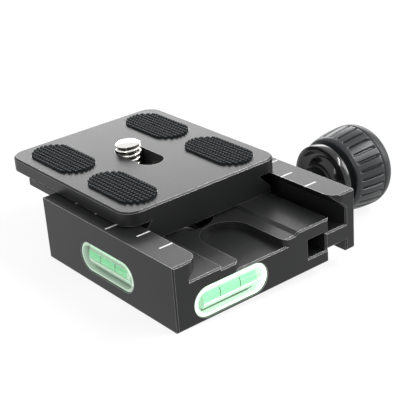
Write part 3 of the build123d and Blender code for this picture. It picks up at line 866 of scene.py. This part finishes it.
def build_bushing():
    """The mounting thread's steel bushing, with the slot it was driven in by."""
    length = span("mount_bushing", 2)[1]
    mouth_r = THREAD_R + BUSHING_MOUTH
    outline = [(0.0, BUSHING_R - BUSHING_EDGE), (BUSHING_EDGE, BUSHING_R)]
    outline += [(length, BUSHING_R), (length, mouth_r)]
    rows = thread_rows(BUSHING_LEAD, length - BUSHING_LEAD, INCH_PITCH)
    outline += [(row, THREAD_R) for row in reversed(rows)]
    outline += [(0.0, mouth_r)]
    ring = turned_mesh("threaded_bushing", outline, THREAD_COLUMNS)
    ring = made_by(thread_maker(), "threaded_bushing", ring, {
        "Radius": THREAD_R * MM, "Pitch": INCH_PITCH * MM, "Depth": INCH_DEPTH * MM, "Low": 0.0,
        "High": length * MM, "Run Out": 0.3 * MM,
    }, steel)
    half, past = DRIVE_SLOT_W / 2, BUSHING_R + 1
    slot = box_mesh("drive_slot", (-half, -past, length - DRIVE_SLOT_DEPTH), (half, past, length + 1))
    ring = cut_away(ring, slot)
    settle(new_piece("threaded_bushing", smooth(ring, 50), steel), "clamp_base", "steel", "mount_bushing")


# Pads

def build_pads():
    """Each pad is a flat body with rows of nubs, cut off at its round-ended outline."""
    maker = nub_maker()
    outline = stadium(PAD_L, PAD_W)
    for node in ("front_left_pad", "front_right_pad", "rear_left_pad", "rear_right_pad"):
        low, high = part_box(node)
        middle = (low + high) / 2
        floor, top = low.z / MM, high.z / MM
        body = prism(node + "_body", [(floor, outline), (top - PAD_NUB_RISE, outline)])
        nubs = made_by(maker, node + "_nubs", bpy.data.meshes.new("empty_start"), {
            "Width": PAD_W * MM, "Length": PAD_L * MM, "Rib Pitch": PAD_RIB_PITCH * MM,
            "Nub Pitch": PAD_NUB_PITCH * MM, "Rib Rows": PAD_RIB_ROWS, "Nub Rows": PAD_NUB_ROWS,
            "Nub Width": PAD_NUB_W * MM, "Nub Length": PAD_NUB_L * MM, "Height": PAD_NUB_H * MM,
            "Floor": (top - PAD_NUB_H / 2) * MM, "Margin": -PAD_PAST_EDGE * MM,
        }, pad_rubber)
        inside = prism(node + "_inside", [(floor, outline), (top + 1, outline)])
        mesh = joined(node + "_ribbed", [body, cut_away(nubs, inside, "INTERSECT")])
        mesh.transform(Matrix.Translation(Vector((middle.x, middle.y, 0))))
        settle(new_piece(node + "_ribbed", smooth(mesh, 20), pad_rubber), "plate", "pad_rubber", node)


# Springs

def build_springs():
    """A coil of wire along each return spring, riding with the base."""
    maker = coil_maker()
    for node in ("front_return_spring", "rear_return_spring"):
        low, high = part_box(node)
        middle = (low + high) / 2
        length = (high.x - low.x) / MM
        mesh = made_by(maker, node + "_coil", bpy.data.meshes.new("empty_start"), {
            "Turns": SPRING_TURNS, "Coil Radius": SPRING_R * MM, "Wire Radius": SPRING_WIRE_R * MM,
            "Length": (length - 2 * SPRING_END_GAP) * MM,
        }, steel)
        start = Vector((low.x + SPRING_END_GAP * MM, middle.y, middle.z))
        mesh.transform(Matrix.Translation(start) @ Matrix.Rotation(math.pi / 2, 4, "Y"))
        piece = new_piece(node + "_coil", smooth(mesh, 60))
        settle(piece, "clamp_base", "steel", node)
        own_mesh(piece)


# Level vials

def vial_hollow(node, axis):
    """The round room for the fluid and the plug, with its centre and its radius in millimetres."""
    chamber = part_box(node.replace("block", "fluid"))
    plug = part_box(node.replace("block", "plug"))
    radius = (chamber[1].z - chamber[0].z) / 2 / MM + HOLLOW_GAP
    centre = (chamber[0] + chamber[1]) / 2
    start = min(chamber[0][axis], plug[0][axis]) / MM - HOLLOW_GAP
    stop = max(chamber[1][axis], plug[1][axis]) / MM + HOLLOW_GAP
    outline = [(start, 0.0), (start, radius), (stop, radius), (stop, 0.0)]
    hollow = turned_mesh(node + "_hollow", outline, HOLLOW_COLUMNS)
    across = centre.copy()
    across[axis] = 0
    lay = Matrix.Rotation(math.pi / 2, 4, "Y") if axis == 0 else Matrix.Rotation(-math.pi / 2, 4, "X")
    hollow.transform(Matrix.Translation(across) @ lay)
    return hollow, centre, radius


def build_vial(name, node, material, turn):
    """A round-ended clear block with an eased front edge, hollow where the fluid and the plug sit."""
    low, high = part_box(node)
    middle = (low + high) / 2
    size = (high - low) / MM
    length, depth, height = max(size.x, size.y), min(size.x, size.y), size.z
    layers = [(-depth, stadium(length, height))]
    layers += [(level, stadium(length - less, height - less)) for level, less in VIAL_EDGE]
    mesh = prism(name, layers)
    front = Matrix.Rotation(math.pi / 2, 4, "X") @ Matrix.Rotation(math.pi / 2, 4, "Z")
    if turn:
        aside = Matrix.Rotation(-math.pi / 2, 4, "Z")
        place = Matrix.Translation((low.x, middle.y, middle.z)) @ aside @ front
    else:
        place = Matrix.Translation((middle.x, low.y, middle.z)) @ front
    mesh.transform(place)
    hollow, centre, radius = vial_hollow(node, 1 if turn else 0)
    mesh = cut_away(mesh, hollow)
    # Painted glow share per vertex: 0 at the hollow, 0.5 behind the front layer, rising to 1 along the front
    # rim.
    rim_glow_shares = mesh.attributes.new("rim", "FLOAT", "POINT")
    to_outline = place.inverted()
    hollow_z = (to_outline @ centre).z
    straight = (length - height) / 2
    for index, vertex in enumerate(mesh.vertices):
        spot = to_outline @ vertex.co
        past = max(abs(spot.y) / MM - straight, 0.0)
        reach = math.hypot(spot.x / MM, past)
        on_hollow = math.hypot(spot.x, spot.z - hollow_z) / MM < radius + 0.02
        in_front = spot.z > -VIAL_GLOW_RIM_DEPTH * MM
        share = (reach - (height / 2 - VIAL_GLOW_RIM_W)) / VIAL_GLOW_RIM_FADE if in_front else 0.5
        rim_glow_shares.data[index].value = 0.0 if on_hollow else max(0.0, min(1.0, share))
    settle(new_piece(name, smooth(mesh, 20), material), "clamp_base", "clear_acrylic", node)


build_vial("front_vial_clear_block", "front_vial_block", front_acrylic_lit_glow, False)
build_vial("side_vial_clear_block", "side_vial_block", side_acrylic_shaded_glow, True)
build_hub()
build_grip()
build_cap()
build_camera_screw()
build_bushing()
build_pads()
build_springs()


# Table top, light and camera; the table's side and the lamps' distances and sizes are in metres

TABLE_SIDE = 6.0
TABLE_GAP = 0.02
TABLE_GLOW = 0.86
ROOM_LIGHT = 0.55
MIDDLE = Vector((8, 3, 12)) * MM


def plain_white(tree):
    """1 for what the camera, reflections and clear pieces see, and 0 for the rest."""
    paths = tree.nodes.new("ShaderNodeLightPath").outputs
    seen = calc(tree, "MAXIMUM", paths["Is Camera Ray"], paths["Is Glossy Ray"])
    return calc(tree, "MAXIMUM", seen, paths["Is Transmission Ray"])


def build_table_top():
    """A pale floor, tilted to touch the base's lower left edge and the low side of the knob."""
    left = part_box("base_block")[0].x
    knob_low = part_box("knob_grip")
    touch_x = (knob_low[0].x + knob_low[1].x) / 2 + 2 * MM
    tilt = math.atan2(-knob_low[0].z, touch_x - left)
    mesh = bpy.data.meshes.new("table_top")
    half = TABLE_SIDE / 2
    corners = [(-half, -half, 0), (half, -half, 0), (half, half, 0), (-half, half, 0)]
    mesh.from_pydata(corners, [], [(0, 1, 2, 3)])
    mesh.transform(Matrix.Translation((left, 0, -TABLE_GAP * MM)) @ Matrix.Rotation(tilt, 4, "Y"))
    material = bpy.data.materials.new("table_top")
    material.use_nodes = True
    tree = material.node_tree
    tree.nodes.remove(tree.nodes["Principled BSDF"])
    matt = tree.nodes.new("ShaderNodeBsdfDiffuse")
    matt.inputs["Color"].default_value = (0.16, 0.16, 0.16, 1)
    glow = tree.nodes.new("ShaderNodeEmission")
    put(tree, glow.inputs["Strength"], calc(tree, "MULTIPLY", plain_white(tree), TABLE_GLOW))
    both = tree.nodes.new("ShaderNodeAddShader")
    tree.links.new(matt.outputs[0], both.inputs[0])
    tree.links.new(glow.outputs[0], both.inputs[1])
    tree.links.new(both.outputs[0], tree.nodes["Material Output"].inputs["Surface"])
    top = new_piece("table_top", mesh, material)


def build_world():
    world = bpy.data.worlds.new("plain_studio")
    bpy.context.scene.world = world
    world.use_nodes = True
    tree = world.node_tree
    back = tree.nodes["Background"]
    back.inputs["Color"].default_value = (1, 1, 1, 1)
    level = calc(tree, "ADD", calc(tree, "MULTIPLY", plain_white(tree), 1 - ROOM_LIGHT), ROOM_LIGHT)
    put(tree, back.inputs["Strength"], level)


def facing_back(azimuth, elevation):
    """The unit vector from the object towards a viewer or a lamp, from two angles in degrees."""
    turn, rise = math.radians(azimuth), math.radians(elevation)
    return Vector((math.sin(turn) * math.cos(rise), -math.cos(turn) * math.cos(rise), math.sin(rise)))


def build_lamp(name, azimuth, elevation, distance, size, power):
    light = bpy.data.lights.new(name, "AREA")
    light.shape = "RECTANGLE"
    light.size, light.size_y = size
    light.energy = power
    lamp = bpy.data.objects.new(name, light)
    bpy.context.scene.collection.objects.link(lamp)
    way = facing_back(azimuth, elevation)
    lamp.location = MIDDLE + way * distance
    lamp.rotation_mode = "QUATERNION"
    lamp.rotation_quaternion = way.to_track_quat("Z", "Y")
    lamp.visible_camera = False


def build_camera():
    roll = math.radians(CAMERA_ROLL)
    back = facing_back(CAMERA_AZIMUTH, CAMERA_ELEVATION)
    right = (-back).cross(Vector((0, 0, 1))).normalized()
    up = right.cross(-back)
    rolled_right = right * math.cos(roll) + up * math.sin(roll)
    rolled_up = -right * math.sin(roll) + up * math.cos(roll)
    lens = bpy.data.cameras.new("photo_camera")
    lens.sensor_width = SENSOR_MM
    lens.lens = LENS_MM
    lens.clip_start, lens.clip_end = 0.01, 10
    camera = bpy.data.objects.new("photo_camera", lens)
    bpy.context.scene.collection.objects.link(camera)
    turned = Matrix((rolled_right, rolled_up, back)).transposed().to_4x4()
    camera.matrix_world = Matrix.Translation(CAMERA_PLACE) @ turned
    bpy.context.scene.camera = camera


build_table_top()
build_world()
build_lamp("back_softbox", 143, 17, 0.75, (0.95, 0.25), 3.3)
build_lamp("front_softbox", -60, 18, 0.8, (0.4, 0.4), 2.0)
build_lamp("right_softbox", 62, 20, 0.8, (0.3, 0.4), 2.5)
build_lamp("edge_softbox", 52, 46, 0.8, (0.5, 0.06), 3.0)
build_camera()
bpy.context.scene.view_settings.view_transform = "Standard"
